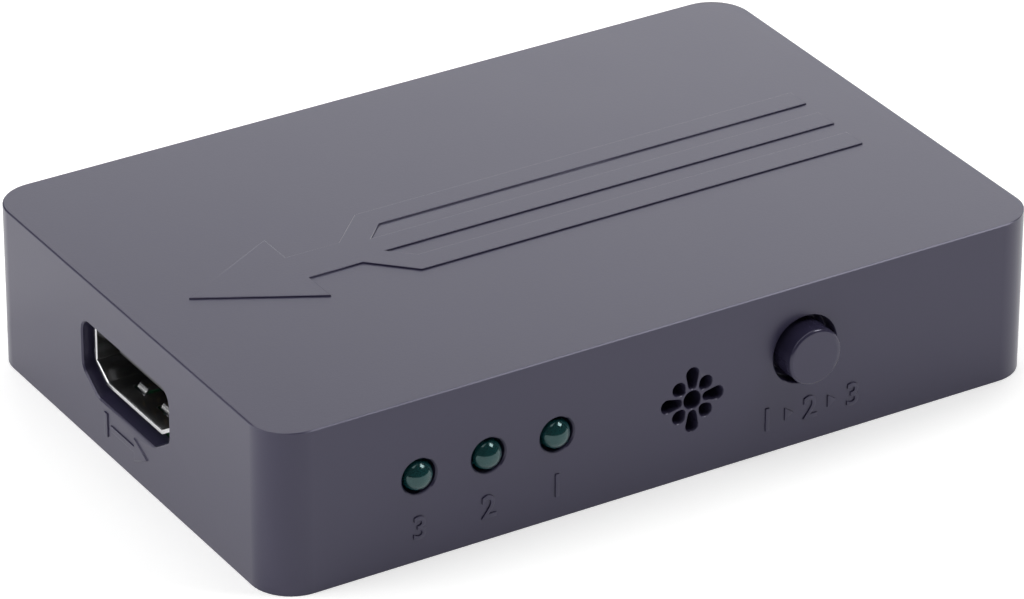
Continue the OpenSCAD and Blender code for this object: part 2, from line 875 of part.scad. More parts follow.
module wire_pair(number) {
    for (side = [-1, 1])
        translate([light_x(number) + side * wire_pitch / 2, 0, led_z])
            along_x(wire_t)
                polygon([[led_back_y - led_wire_in, wire_t / 2], [led_wire_y, wire_t / 2],
                    [led_wire_y, tail_z - led_z], [led_wire_y - wire_t, tail_z - led_z],
                    [led_wire_y - wire_t, -wire_t / 2], [led_back_y - led_wire_in, -wire_t / 2]]);
}

module led_lens(number) {
    straight = led_collar_len + led_len - led_r;
    color(lens_colour)
        difference() {
            facing_front(light_x(number), led_back_y, led_z)
                rotate_extrude()
                    polygon(concat([[0, 0], [led_collar_r, 0], [led_collar_r, led_collar_len],
                        [led_r, led_collar_len]], arc([0, straight], led_r, 0, 90, 3 * bend_steps)));
            wire_pair(number);
        }
}

module led_leads(number) {
    color(steel_colour)
        wire_pair(number);
}

module receiver_wire_row() {
    for (i = [0:receiver_wires - 1])
        translate([window_x + (i - 1) * receiver_pitch, receiver_y + receiver_t / 2, 0])
            block(-wire_t / 2, wire_t / 2, -wire_t / 2, wire_t / 2, tail_z, board_top + receiver_wire_in);
}

module infrared_receiver() {
    color(black_colour)
        difference() {
            union() {
                block(window_x - receiver_w / 2, window_x + receiver_w / 2, receiver_y,
                    receiver_y + receiver_t, board_top, board_top + receiver_h);
                translate([window_x, lens_tip_y + lens_r, window_z])
                    sphere(lens_r);
            }
            receiver_wire_row();
        }
}

module infrared_receiver_leads() {
    color(steel_colour)
        receiver_wire_row();
}

// Bent pin that leaves a chip's side at a given height and stands on the board
module bent_pin(width, height) {
    along_x(width)
        polygon([[0, height + pin_t], [pin_reach - pin_foot, height + pin_t], [pin_reach - pin_foot, pin_t],
            [pin_reach, pin_t], [pin_reach, 0], [pin_reach - pin_foot - pin_t, 0],
            [pin_reach - pin_foot - pin_t, height], [0, height]]);
}

module pin_row(count, pitch, width, reach, height) {
    for (i = [0:count - 1])
        translate([(i - (count - 1) / 2) * pitch, reach, 0])
            bent_pin(width, height);
}

module switch_chip() {
    color(black_colour)
        translate([chip_x, chip_y, board_top + chip_lift])
            linear_extrude(chip_h)
                square(chip_w, center = true);
}

module switch_chip_pins() {
    color(steel_colour)
        translate([chip_x, chip_y, board_top])
            for (turn = [0:90:270])
                rotate(turn)
                    pin_row(chip_pins, chip_pin_pitch, chip_pin_w, chip_w / 2, chip_lift + chip_h / 2);
}

module control_chip() {
    color(black_colour)
        translate([control_x, control_y, board_top + chip_lift])
            linear_extrude(control_h)
                square([control_w, control_d], center = true);
}

module control_chip_pins() {
    color(steel_colour)
        translate([control_x, control_y, board_top])
            for (turn = [0, 180])
                rotate(turn)
                    pin_row(control_pins, control_pin_pitch, control_pin_w, control_d / 2,
                        chip_lift + control_h / 2);
}

module regulator() {
    color(black_colour)
        translate([regulator_x, regulator_y, board_top + chip_lift])
            linear_extrude(regulator_h)
                square([regulator_w, regulator_d], center = true);
}

module regulator_leads() {
    color(steel_colour)
        translate([regulator_x, regulator_y, board_top]) {
            rotate(180)
                pin_row(3, regulator_pitch, regulator_pin_w, regulator_d / 2, chip_lift + regulator_h / 2);
            pin_row(1, 0, regulator_tab_w, regulator_d / 2, chip_lift + regulator_h / 2);
        }
}

module bulk_capacitor_can() {
    neck = can_h / 4;
    color(steel_colour)
        translate([can_x, can_y, board_top + can_base])
            rotate_extrude()
                polygon([[0, 0], [can_r, 0], [can_r, neck - can_groove], [can_r - can_groove, neck],
                    [can_r, neck + can_groove], [can_r, can_h - can_groove], [can_r - can_groove, can_h],
                    [0, can_h]]);
}

module bulk_capacitor_base() {
    color(black_colour)
        translate([can_x, can_y, board_top])
            linear_extrude(can_base)
                square(2 * can_r + join, center = true);
}

module crystal_can() {
    color(steel_colour)
        translate([crystal_x, crystal_y, board_top])
            linear_extrude(crystal_h)
                union() {
                    square([crystal_len - crystal_w, crystal_w], center = true);
                    for (side = [-1, 1])
                        translate([side * (crystal_len - crystal_w) / 2, 0])
                            circle(crystal_w / 2);
                }
}

module at_capacitors() {
    for (i = [0:capacitor_count - 1])
        translate([chip_x + (i - (capacitor_count - 1) / 2) * capacitor_pitch, capacitor_y, board_top])
            children();
}

module at_resistors() {
    for (number = [1:3])
        translate([light_x(number), resistor_y, board_top])
            children();
}

module part_body() {
    block(-part_w / 2, part_w / 2, part_end - part_len / 2, part_len / 2 - part_end, 0, part_h);
}

module part_ends() {
    for (side = [0, 1])
        mirror([0, side, 0])
            block(-part_w / 2, part_w / 2, part_len / 2 - part_end, part_len / 2, 0, part_h);
}

module chip_capacitors() {
    color(ceramic_colour)
        at_capacitors()
            part_body();
}

module chip_resistors() {
    color(black_colour)
        at_resistors()
            part_body();
}

module chip_end_caps() {
    color(steel_colour) {
        at_capacitors()
            part_ends();
        at_resistors()
            part_ends();
    }
}

top_cover();
base_plate();
case_screws();
circuit_board();
for (port = ports) {
    port_shell(port);
    port_insulator(port);
    port_contacts(port);
}
select_button();
switch_body();
switch_cover();
switch_plunger();
switch_dome();
switch_leads();
for (number = [1:3]) {
    led_lens(number);
    led_leads(number);
}
infrared_receiver();
infrared_receiver_leads();
switch_chip();
switch_chip_pins();
control_chip();
control_chip_pins();
regulator();
regulator_leads();
bulk_capacitor_can();
bulk_capacitor_base();
crystal_can();
chip_capacitors();
chip_resistors();
chip_end_caps();
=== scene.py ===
import math

import bmesh
import bpy
from mathutils import Matrix, Quaternion, Vector


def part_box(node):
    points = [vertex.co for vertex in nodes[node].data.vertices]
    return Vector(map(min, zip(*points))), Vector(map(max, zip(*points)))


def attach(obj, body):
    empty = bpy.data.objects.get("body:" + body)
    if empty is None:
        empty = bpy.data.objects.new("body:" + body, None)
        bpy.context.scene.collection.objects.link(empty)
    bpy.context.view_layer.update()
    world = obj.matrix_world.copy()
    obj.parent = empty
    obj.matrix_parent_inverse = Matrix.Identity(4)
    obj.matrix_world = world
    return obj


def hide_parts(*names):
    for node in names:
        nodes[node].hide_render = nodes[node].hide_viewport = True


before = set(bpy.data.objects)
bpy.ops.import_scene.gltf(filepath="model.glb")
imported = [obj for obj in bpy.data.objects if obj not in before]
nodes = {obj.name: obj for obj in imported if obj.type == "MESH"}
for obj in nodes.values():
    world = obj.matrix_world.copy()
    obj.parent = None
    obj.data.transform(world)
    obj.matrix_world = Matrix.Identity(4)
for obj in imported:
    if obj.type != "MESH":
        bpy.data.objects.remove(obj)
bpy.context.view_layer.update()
scene = bpy.context.scene

# Lengths are in millimetres while a piece is shaped, and in metres once it is kept
MM = 0.001
MERGE = 0.002

# Angle in degrees up to which faces become one, and from which an edge is shaded as a crease
FLAT_ANGLE = 0.5
CREASE_ANGLE = 38
# Angle in radians from which an edge of the moulding or of the sheet metal is rounded
MOULD_ANGLE = 1.0
SHEET_ANGLE = 1.2
# Share of the largest faces in the shading, so that these look flat up to their rounded edges
FACE_WEIGHT = 100

# Steps of round forms
CIRCLE_STEPS = 48
CORNER_STEPS = 4
EDGE_STEPS = 2
SIGN_EDGE_STEPS = 3
LIP_STEPS = 4
BEND_STEPS = 4
HEAD_STEPS = 40
SHANK_STEPS = 24
THREAD_STEPS = 24
THREAD_SIDES = 4
CUP_STEPS = 24
WIRE_STEPS = 10
WIRE_SIDES = 6
LETTER_STEPS = 6

# Rounding that the mould or the press leaves along edges, and how far a cutter stands proud of what it cuts
EDGE = 0.15
PETAL_EDGE = 0.07
SIGN_EDGE = 0.08
SHEET_EDGE = 0.05
LIP_EDGE = 0.33
SLACK = 0.05
PETAL_SLACK = 0.02

# Edge of the roof: corners of the case, its rounding in the CAD shape, and the narrow slant seen along the front
CASE_CORNER = 4.0
ROOF_ROUND = 0.15
ROOF_SLANT_RUN = 0.13
ROOF_SLANT_DROP = 0.11
# How fast that slant thins out around a corner, its least share there, and how late it gives way to the rounding
ROOF_SLANT_THINNING = 6
ROOF_SLANT_LEAST = 0.15
ROOF_SLANT_HOLD = 2

# Raised signs: their height in the CAD shape, and the lower one that is seen
SIGN_H = 0.2
SIGN_SEEN_H = 0.13
SIGN_SUNK = 0.1
SIGN_ROUND = 0.05
LETTER_H = 2.25
FONT_CAP = 0.7
LIGHT_SIGN_Z = 3.4
BUTTON_SIGN_Z = 3.5
BUTTON_SIGN_SHIFT = 0.7
BUTTON_SIGN_W = 9.2
POINTER_W = 0.9
POINTER_RISE = 0.63

# Cut-outs in the case
LIGHT_HOLE_R = 1.7
BUTTON_RING_R = 3.3
BUTTON_RING_DEPTH = 1.6
BUTTON_GUIDE_R = 2.85
BUTTON_GUIDE_EDGE = 0.35
PORT_W = 14.8
PORT_H = 5.5
PORT_SLANT_W = 2.3
PORT_SLANT_H = 1.5
PORT_BEND_R = 0.6
PORT_GAP = 0.65
PORT_DROP = 0.35
PORT_RECESS = 0.9

# Window over the remote-control receiver: a round hole with long and short petals in turn, four of each
PETALS = 4
WINDOW_LIFT = 2.1
WINDOW = {"Hole Radius": 0.9, "Long Reach": 3.25, "Long Length": 1.08, "Short Reach": 2.64,
          "Short Length": 0.37, "Outer Radius": 0.65, "Inner Radius": 0.42, "Edge": PETAL_EDGE,
          "Slack": PETAL_SLACK}

# Rim of the button: its rounding in the CAD shape, and the crisper one that is seen
BUTTON_R = 2.75
BUTTON_ROUND = 0.6
BUTTON_RIM = 0.3

# Contacts of a socket, measured from its mouth and its middle
CONTACT = {"Pitch": 1.0, "Width": 0.3, "Thickness": 0.18, "Start": 2.4, "Drop": 11.51, "Foot": 12.5,
           "Lower": -3.01, "Bend": 0.25}
CONTACT_ROWS = ((10, 0.71), (9, -0.21))

# Case screws
SCREW = {"Head Radius": 1.9, "Head Height": 1.2, "Shank Radius": 0.92, "Length": 8.0, "Tip": 1.0,
         "Thread Pitch": 0.8, "Thread Depth": 0.18, "Slot Length": 2.2, "Slot Width": 0.5,
         "Slot Depth": 0.6}
# Rings of a screw's head as shares of its radius and height, where the shank starts in it, and its tip as a share
SCREW_CROWN = ((0.7, 0), (0.9, 0.1), (1, 0.35), (1, 1))
SHANK_START = 0.9
SHANK_TIP = 0.33

# Metal frame inside a status light, measured from the back of its body
LIGHT_FRAME = {"Stem Start": 0.6, "Stem End": 2.3, "Stem Width": 0.55, "Stem Place": 0.98,
               "Sheet": 0.36, "Cup Depth": 0.55, "Cup Radius": 0.62, "Wire": 0.035}
# Shares of the cup's radius and depth, and the crown of the wire as shares of the stem's place and the cup's depth
CUP_FOOT = 0.6
BOWL_FOOT = 0.3
BOWL_BRIM = 0.9
BOWL_FLOOR = 0.3
SHELF_SHIFT = -0.25
WIRE_CROWN = (-0.6, 2.2)

# Noise textures: how fine they go, and the range that holds most of their values
PATCH_DETAIL = 3
GRAIN_DETAIL = 2
NOISE_LOW, NOISE_HIGH = 0.3, 0.7


def linear(code):
    """An sRGB hex colour as linear red, green, blue and alpha."""
    parts = [int(code[i:i + 2], 16) / 255 for i in (1, 3, 5)]
    return [p / 12.92 if p <= 0.04045 else ((p + 0.055) / 1.055) ** 2.4 for p in parts] + [1]


def add(tree, kind, inputs=None, **settings):
    """Add a node with its settings; an input is a value, a node, a socket or a list of nodes."""
    node = tree.nodes.new(kind)
    for name, value in settings.items():
        setattr(node, name, value)
    for key, value in (inputs or {}).items():
        several = isinstance(value, list) and isinstance(value[0], bpy.types.Node)
        for one in value if several else [value]:
            if isinstance(one, bpy.types.Node):
                one = next(o for o in one.outputs if o.enabled)
            if isinstance(one, bpy.types.NodeSocket):
                tree.links.new(one, node.inputs[key])
            else:
                node.inputs[key].default_value = one
    return node


# Materials

def new_material(name):
    """An empty material and its node tree."""
    material = bpy.data.materials.new(name)
    material.use_nodes = True
    material.node_tree.nodes.clear()
    return material, material.node_tree


def surface(name, dark, light, mottle, grain, relief, rough, stretch=(1, 1, 1), **constants):
    """Patchy colour and gloss over a fine relief. Mottle, grain and relief are in millimetres."""
    material, tree = new_material(name)
    place = add(tree, "ShaderNodeTexCoord")
    laid = add(tree, "ShaderNodeMapping", {"Vector": place.outputs["Object"], "Scale": stretch})
    patches = add(tree, "ShaderNodeTexNoise", {"Vector": laid, "Scale": 1 / (mottle * MM),
                                               "Detail": PATCH_DETAIL})
    grains = add(tree, "ShaderNodeTexNoise", {"Vector": laid, "Scale": 1 / (grain * MM),
                                              "Detail": GRAIN_DETAIL})
    colour = add(tree, "ShaderNodeMix", {0: patches, 6: linear(dark), 7: linear(light)}, data_type="RGBA")
    gloss = add(tree, "ShaderNodeMapRange", {"Value": patches, "From Min": NOISE_LOW, "From Max": NOISE_HIGH,
                                             "To Min": rough[0], "To Max": rough[1]})
    bump = add(tree, "ShaderNodeBump", {"Height": grains, "Strength": 1, "Distance": relief * MM})
    sockets = {key.replace("_", " ").title().replace("Ior", "IOR"): v for key, v in constants.items()}
    shader = add(tree, "ShaderNodeBsdfPrincipled", {"Base Color": colour, "Roughness": gloss,
                                                    "Normal": bump, **sockets})
    add(tree, "ShaderNodeOutputMaterial", {"Surface": shader})
    return material


# Dark violet-grey ABS from a spark-eroded mould: satin, with a soft broad sheen
case_abs = surface("abs_moulded_satin", "#2b283c", "#2e2b40", 9, 0.22, 0.004, (0.3, 0.32), ior=1.54,
                   specular_tint=linear("#eeecff"))
# The same ABS from a smoother cavity, so its rounded edge takes a sharper glint
button_abs = surface("abs_moulded_smooth", "#2b283c", "#2e2b40", 6, 0.3, 0.001, (0.18, 0.22), ior=1.52,
                     specular_tint=linear("#eeecff"))
# Green epoxy cast around the light: deep and clear, with a wet-looking dome
lens_epoxy = surface("epoxy_cast_green", "#0e4143", "#134c4e", 1.5, 0.5, 0.001, (0.08, 0.12),
                     ior=1.6, transmission_weight=0.5, specular_tint=linear("#dcffff"))
# Nickel-plated steel sheet, rolled: bright, with faint streaks along the socket
port_steel = surface("steel_nickel_plated", "#c4c4c6", "#d9d9da", 0.9, 0.12, 0.0012, (0.16, 0.26),
                     stretch=(0.3, 0.3, 1), metallic=1)
# Tinned wire and pins: soft white metal with cloudy patches
tinned_steel = surface("steel_tinned", "#b9bab8", "#d2d3d1", 0.6, 0.1, 0.002, (0.26, 0.4), metallic=1)
# Rolled spring steel of the switch dome: grey and even
spring_steel = surface("steel_spring_rolled", "#a9adb2", "#bcc0c4", 0.8, 0.08, 0.001, (0.2, 0.3),
                       stretch=(1, 1, 0.2), metallic=1)
# Zinc-plated screw steel: bluish grey, slightly worn
screw_steel = surface("steel_zinc_plated", "#9b9fa6", "#b6b9bd", 0.7, 0.15, 0.003, (0.25, 0.42),
                      metallic=1)
# Gold flash over nickel on the contacts: warm and smooth
contact_gold = surface("gold_flash_plated", "#cfa650", "#e0bb68", 0.5, 0.1, 0.001, (0.18, 0.3),
                       metallic=1)
# Glass-filled black plastic of the sockets and the switch: dull, with a flow pattern
black_plastic = surface("plastic_glass_filled", "#121214", "#1c1c1f", 1.2, 0.09, 0.004, (0.45, 0.6),
                        ior=1.6)
# Black moulding epoxy of the chips: matt and sandy
chip_epoxy = surface("epoxy_moulded_black", "#161618", "#202022", 0.8, 0.07, 0.006, (0.55, 0.7), ior=1.55)
# Dark infrared-passing epoxy: almost black and glossy
receiver_epoxy = surface("epoxy_infrared_dark", "#08070b", "#0f0d14", 1.2, 0.3, 0.001, (0.1, 0.18),
                         ior=1.55)
# Drawn aluminium can: pale, with fine upright draw lines
can_aluminium = surface("aluminium_drawn", "#c3c5c7", "#d6d8da", 0.5, 0.12, 0.002, (0.25, 0.38),
                        stretch=(1, 1, 0.1), metallic=1)
# Fired ceramic of the small capacitors: tan and speckled
ceramic = surface("ceramic_fired", "#8f7453", "#b0946c", 0.25, 0.06, 0.003, (0.45, 0.6), ior=1.6)
# White acrylic of a light table, lit from below: matt, with only a faint shade at the foot of the object
table = surface("acrylic_light_table", "#f1f1f0", "#f7f7f6", 60, 0.6, 0.01, (0.8, 0.9),
                emission_color=linear("#ffffff"), emission_strength=0.36)


def laminate():
    """Green solder mask over copper: paler where copper lies under it, in straight-sided patches and lines."""
    line_mm, pour_mm, grain_mm, relief_mm = 1.2, 5.0, 0.08, 0.02
    pour_limit = 0.55
    line_pattern = {"Mortar Size": 0.06, "Mortar Smooth": 0.1, "Brick Width": 4.0, "Row Height": 0.5}
    smooth, rough = 0.25, 0.45
    material, tree = new_material("laminate_solder_mask")
    place = add(tree, "ShaderNodeTexCoord").outputs["Object"]
    pours = add(tree, "ShaderNodeTexVoronoi", {"Vector": place, "Scale": 1 / (pour_mm * MM)},
                distance="CHEBYCHEV")
    filled = add(tree, "ShaderNodeMath", {0: pours.outputs["Color"], 1: pour_limit}, operation="GREATER_THAN")
    lines = add(tree, "ShaderNodeTexBrick", {"Vector": place, "Scale": 1 / (line_mm * MM), **line_pattern})
    copper = add(tree, "ShaderNodeMath", {0: filled, 1: lines.outputs["Fac"]}, operation="MAXIMUM")
    colour = add(tree, "ShaderNodeMix", {0: copper, 6: linear("#123f28"), 7: linear("#1f6a40")},
                 data_type="RGBA")
    grains = add(tree, "ShaderNodeTexNoise", {"Vector": place, "Scale": 1 / (grain_mm * MM)})
    height = add(tree, "ShaderNodeMath", {0: copper, 1: grains}, operation="ADD")
    bump = add(tree, "ShaderNodeBump", {"Height": height, "Strength": 1, "Distance": relief_mm * MM})
    gloss = add(tree, "ShaderNodeMapRange", {"Value": grains, "To Min": smooth, "To Max": rough})
    shader = add(tree, "ShaderNodeBsdfPrincipled", {"Base Color": colour, "Roughness": gloss, "Normal": bump,
                                                    "IOR": 1.55})
    add(tree, "ShaderNodeOutputMaterial", {"Surface": shader})
    return material


board_laminate = laminate()


# Meshes

def box_mm(node):
    """Lowest corner, highest corner and middle of a CAD node."""
    low, high = (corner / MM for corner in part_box(node))
    return low, high, (low + high) / 2


def shape_of(mesh, place=Matrix.Identity(4), scale=1):
    """A mesh as an editable shape with its loose triangles merged."""
    shape = bmesh.new()
    shape.from_mesh(mesh)
    bmesh.ops.scale(shape, vec=[scale] * 3, verts=shape.verts)
    bmesh.ops.transform(shape, matrix=place, verts=shape.verts)
    bmesh.ops.remove_doubles(shape, verts=shape.verts, dist=MERGE)
    return shape


def copy_of(node):
    """A CAD node as an editable shape, with whole faces instead of triangles."""
    shape = shape_of(nodes[node].data, scale=1 / MM)
    bmesh.ops.dissolve_limit(shape, angle_limit=math.radians(FLAT_ANGLE), verts=shape.verts,
                             edges=shape.edges)
    return shape


def mesh_of(shape, name="shape"):
    """A shape as a mesh; the shape is used up."""
    mesh = bpy.data.meshes.new(name)
    shape.to_mesh(mesh)
    shape.free()
    return mesh


def joined(shapes):
    """Shapes put together as one."""
    whole = bmesh.new()
    for shape in shapes:
        mesh = mesh_of(shape)
        whole.from_mesh(mesh)
        bpy.data.meshes.remove(mesh)
    return whole


def finished(mesh, *modifiers):
    """The plain mesh that modifiers make, each given as its kind and its settings."""
    holder = bpy.data.objects.new(mesh.name, mesh)
    scene.collection.objects.link(holder)
    for kind, settings in modifiers:
        modifier = holder.modifiers.new(kind, kind)
        for name, value in settings.items():
            setattr(modifier, name, value)
    made = bpy.data.meshes.new_from_object(holder.evaluated_get(bpy.context.evaluated_depsgraph_get()))
    bpy.data.objects.remove(holder)
    return made


def keep(name, shape, material, replaced=(), body="case"):
    """Turn a shape into a finished piece at the origin that rides on a body."""
    bmesh.ops.scale(shape, vec=[MM] * 3, verts=shape.verts)
    mesh = mesh_of(shape, name)
    mesh.materials.clear()
    mesh.materials.append(material)
    mesh.polygons.foreach_set("material_index", [0] * len(mesh.polygons))
    mesh.polygons.foreach_set("use_smooth", [True] * len(mesh.polygons))
    mesh.set_sharp_from_angle(angle=math.radians(CREASE_ANGLE))
    mesh = finished(mesh, ("WEIGHTED_NORMAL", {"keep_sharp": True, "weight": FACE_WEIGHT}))
    mesh.name = name
    piece = bpy.data.objects.new(name, mesh)
    scene.collection.objects.link(piece)
    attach(piece, body)
    if replaced:
        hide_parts(*replaced)


def arc(x, y, radius, start, end, steps):
    """Points along an arc around X and Y, from one angle in degrees to another."""
    turns = [math.radians(start + (end - start) * i / steps) for i in range(steps + 1)]
    return [(x + radius * math.cos(t), y + radius * math.sin(t)) for t in turns]


def circle(radius):
    return arc(0, 0, radius, 0, 360 - 360 / CIRCLE_STEPS, CIRCLE_STEPS - 1)


def rounded(corners, radius):
    """Outline with every corner turned into an arc."""
    outline = []
    for i, corner in enumerate(corners):
        corner = Vector(corner)
        u = (Vector(corners[i - 1]) - corner).normalized()
        v = (Vector(corners[(i + 1) % len(corners)]) - corner).normalized()
        half = u.angle(v) / 2
        centre = corner + (u + v).normalized() * radius / math.sin(half)
        start = corner + u * radius / math.tan(half) - centre
        end = corner + v * radius / math.tan(half) - centre
        a = math.degrees(math.atan2(start.y, start.x))
        turn = (math.degrees(math.atan2(end.y, end.x)) - a + 180) % 360 - 180
        outline += arc(centre.x, centre.y, radius, a, a + turn, CORNER_STEPS)
    return outline


def port_outline(grow):
    """Socket outline with slanted lower corners, grown by a gap all round."""
    w, h = PORT_W / 2, PORT_H / 2
    k = 1 - grow * math.hypot(1 / PORT_SLANT_W, 1 / PORT_SLANT_H)
    x = w - PORT_SLANT_W * (k + grow / PORT_SLANT_H)
    z = -h + PORT_SLANT_H * (k + grow / PORT_SLANT_W)
    return rounded([(-w - grow, h + grow), (w + grow, h + grow), (w + grow, z), (x, -h - grow),
                    (-x, -h - grow), (-w - grow, z)], PORT_BEND_R + grow)


def flare(outline, place, edge):
    """Cutter that breaks the edge of a hole. It is drawn in X and Z, with the wall's face at Y 0."""
    shape = bmesh.new()
    rings = []
    for y, grow in ((-SLACK, edge + SLACK), (edge + SLACK, -SLACK)):
        rings.append([shape.verts.new((x, y, z)) for x, z in outline(grow)])
    outer, inner = rings
    for side in zip(outer, outer[1:] + outer[:1], inner[1:] + inner[:1], inner):
        shape.faces.new(side)
    for ring in rings:
        shape.faces.new(ring)
    bmesh.ops.recalc_face_normals(shape, faces=shape.faces)
    bmesh.ops.transform(shape, matrix=place, verts=shape.verts)
    return shape


def bevelled(shape, edges, width, segments=EDGE_STEPS):
    """The shape with some of its edges rounded."""
    bmesh.ops.bevel(shape, geom=edges, offset=width, segments=segments, affect="EDGES", profile=0.5,
                    clamp_overlap=True)
    return shape


def plate(outline, depth, edge):
    """Flat plate drawn in X and Y from Z 0 down to a depth, with a rounded upper edge."""
    shape = bmesh.new()
    face = shape.faces.new([shape.verts.new((x, y, 0)) for x, y in outline])
    below = bmesh.ops.extrude_face_region(shape, geom=[face])["geom"]
    lower = [part for part in below if isinstance(part, bmesh.types.BMVert)]
    bmesh.ops.translate(shape, vec=(0, 0, -depth), verts=lower)
    bmesh.ops.recalc_face_normals(shape, faces=shape.faces)
    return bevelled(shape, [e for e in shape.edges if all(v.co.z == 0 for v in e.verts)], edge)


# Node trees for what repeats

def new_tree(name, lengths, counts=()):
    """A node tree with a material, counts and lengths as named inputs. Also gives those inputs' sockets."""
    tree = bpy.data.node_groups.new(name, "GeometryNodeTree")
    kinds = [("Material", "Material")] + [(c, "Int") for c in counts] + [(n, "Float") for n in lengths]
    for socket, kind in kinds:
        tree.interface.new_socket(socket, in_out="INPUT", socket_type="NodeSocket" + kind)
    tree.interface.new_socket("Mesh", in_out="OUTPUT", socket_type="NodeSocketGeometry")
    return tree, tree.nodes.new("NodeGroupInput").outputs


def close_tree(tree, size, geometry):
    """End a tree with real geometry in the given material."""
    real = add(tree, "GeometryNodeRealizeInstances", {"Geometry": geometry})
    dressed = add(tree, "GeometryNodeSetMaterial", {"Geometry": real, "Material": size["Material"]})
    add(tree, "NodeGroupOutput", {"Mesh": dressed})
    return tree


def grown(tree, material, sizes):
    """The plain mesh that a node tree makes from its named sizes."""
    holder = bpy.data.objects.new(tree.name, bpy.data.meshes.new(tree.name))
    scene.collection.objects.link(holder)
    modifier = holder.modifiers.new(tree.name, "NODES")
    modifier.node_group = tree
    named = {"Material": material, **sizes}
    for item in tree.interface.items_tree:
        if item.in_out == "INPUT":
            modifier[item.identifier] = named[item.name]
    mesh = bpy.data.meshes.new_from_object(holder.evaluated_get(bpy.context.evaluated_depsgraph_get()))
    holder.modifiers.remove(modifier)
    bpy.data.objects.remove(holder)
    return mesh


def sum_of(tree, *terms):
    """A length worked out in a tree: the sum of sockets, numbers and (term, factor) pairs."""
    total = None
    for term in terms:
        term, factor = term if isinstance(term, tuple) else (term, 1)
        part = add(tree, "ShaderNodeMath", {0: term, 1: factor}, operation="MULTIPLY")
        total = part if total is None else add(tree, "ShaderNodeMath", {0: total, 1: part}, operation="ADD")
    return total


def vector(tree, **parts):
    """A vector in a tree from its X, Y and Z. Those left out are 0."""
    return add(tree, "ShaderNodeCombineXYZ", parts)


def moved(tree, geometry, **parts):
    """Geometry shifted by a vector."""
    return add(tree, "GeometryNodeTransform", {"Geometry": geometry, "Translation": vector(tree, **parts)})


def path_of(tree, points):
    """Straight-sided curve through points in the upright plane along Y."""
    row = add(tree, "GeometryNodePoints", {"Count": len(points)})
    places = add(tree, "GeometryNodeIndexSwitch", {}, data_type="VECTOR")
    for _ in points[2:]:
        places.index_switch_items.new()
    tree.links.new(add(tree, "GeometryNodeInputIndex").outputs[0], places.inputs["Index"])
    for i, (y, z) in enumerate(points):
        tree.links.new(vector(tree, Y=y, Z=z).outputs[0], places.inputs[i + 1])
    laid = add(tree, "GeometryNodeSetPosition", {"Geometry": row, "Position": places})
    return add(tree, "GeometryNodePointsToCurves", {"Points": laid})


def strip_row_tree():
    """A row of flat strips, each bent down to a foot."""
    tree, size = new_tree("bent_strip_row", ["Pitch", "Width", "Thickness", "Start", "Drop", "Foot", "Upper",
                                             "Lower", "Bend"], ["Count"])
    path = path_of(tree, [(size["Start"], size["Upper"]), (size["Drop"], size["Upper"]),
                          (size["Drop"], size["Lower"]), (size["Foot"], size["Lower"])])
    bent = add(tree, "GeometryNodeFilletCurve", {"Curve": path, "Radius": size["Bend"], "Count": BEND_STEPS,
                                                 "Limit Radius": True}, mode="POLY")
    level = add(tree, "GeometryNodeSetCurveNormal", {"Curve": bent, "Normal": (1, 0, 0)}, mode="FREE")
    section = add(tree, "GeometryNodeCurvePrimitiveQuadrilateral", {"Width": size["Width"],
                                                                    "Height": size["Thickness"]})
    strip = add(tree, "GeometryNodeCurveToMesh", {"Curve": level, "Profile Curve": section,
                                                  "Fill Caps": True})
    gaps = sum_of(tree, size["Count"], -1)
    reach = add(tree, "ShaderNodeMath", {0: gaps, 1: size["Pitch"]}, operation="MULTIPLY")
    row = add(tree, "GeometryNodeMeshLine", {"Count": size["Count"],
                                             "Start Location": vector(tree, X=sum_of(tree, (reach, -0.5))),
                                             "Offset": vector(tree, X=size["Pitch"])})
    strips = add(tree, "GeometryNodeInstanceOnPoints", {"Points": row, "Instance": strip})
    return close_tree(tree, size, strips)


def hull_of_rings(tree, rings, steps):
    """Round solid that wraps rings, each given by its radius and its height."""
    placed = []
    for radius, height in rings:
        ring = add(tree, "GeometryNodeMeshCircle", {"Vertices": steps, "Radius": radius})
        placed.append(moved(tree, ring, Z=height))
    together = add(tree, "GeometryNodeJoinGeometry", {"Geometry": placed})
    return add(tree, "GeometryNodeConvexHull", {"Geometry": together})


